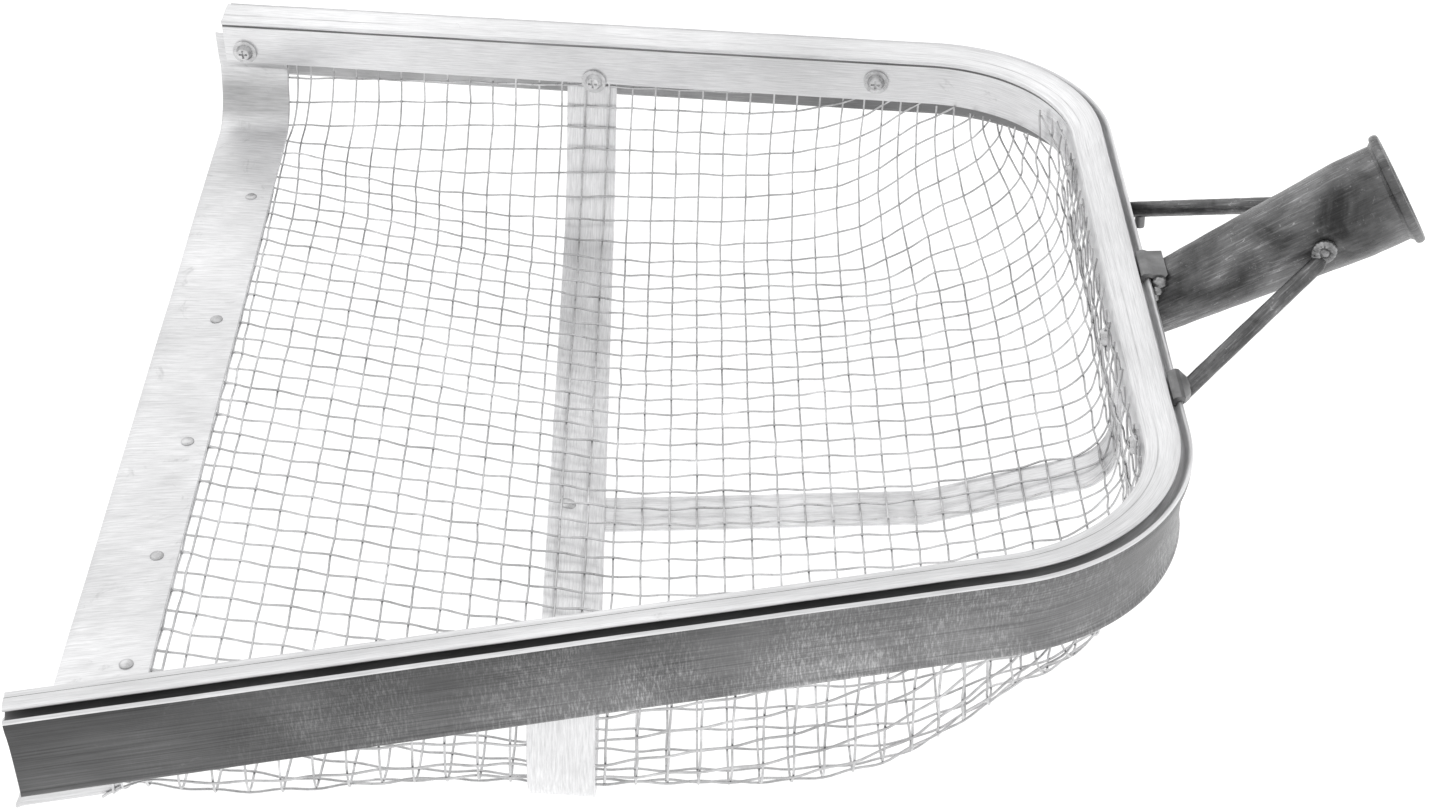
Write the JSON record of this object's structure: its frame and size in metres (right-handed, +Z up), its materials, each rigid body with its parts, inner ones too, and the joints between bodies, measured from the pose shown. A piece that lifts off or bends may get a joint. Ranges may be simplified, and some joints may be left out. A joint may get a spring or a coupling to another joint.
{
  "type": "leaf skimmer net",
  "caption": "Scoop-shaped leaf skimmer: woven wire basket in a bent metal rail with a flat front lip, support straps and a tapered handle socket held by two stays.",
  "frame": {"origin": "middle of the bottom of the whole net's box, on the surface it rests on", "axes": "+X from the front lip towards the handle socket, +Y across the net to its far side, +Z up"},
  "size_m": [0.4665, 0.4602, 0.1437],
  "materials": {
    "rail": "worn extruded aluminium, satin, fine scratches",
    "lip": "galvanised sheet, satin, faint stains",
    "wire": "galvanised woven wire",
    "strap": "smooth rolled strip, shiny",
    "dark_steel": "dark mill scale with scratches",
    "bracket": "dull grey plate",
    "weld": "glossy weld metal with scale",
    "fastener": "bright zinc"
  },
  "bodies": {
    "root": {"frame_rail": "rail", "front_lip": "lip", "mesh_basket": "wire", "cross_strap": "strap", "long_strap": "strap", "handle_socket": "dark_steel", "near_stay": "dark_steel", "far_stay": "dark_steel", "socket_tab": "bracket", "near_stay_foot": "bracket", "far_foot_stub": "bracket", "socket_weld": "weld", "near_foot_weld": "weld", "far_foot_weld": "weld", "near_stay_weld": "weld", "far_stay_weld": "weld", "near_rail_screws": "fastener", "far_rail_screws": "fastener", "back_bar_screws": "fastener", "near_rail_washers": "fastener", "far_rail_washers": "fastener", "back_bar_washers": "fastener", "lip_rivets": "fastener", "strap_rivet": "fastener"}
  },
  "joints": []
}
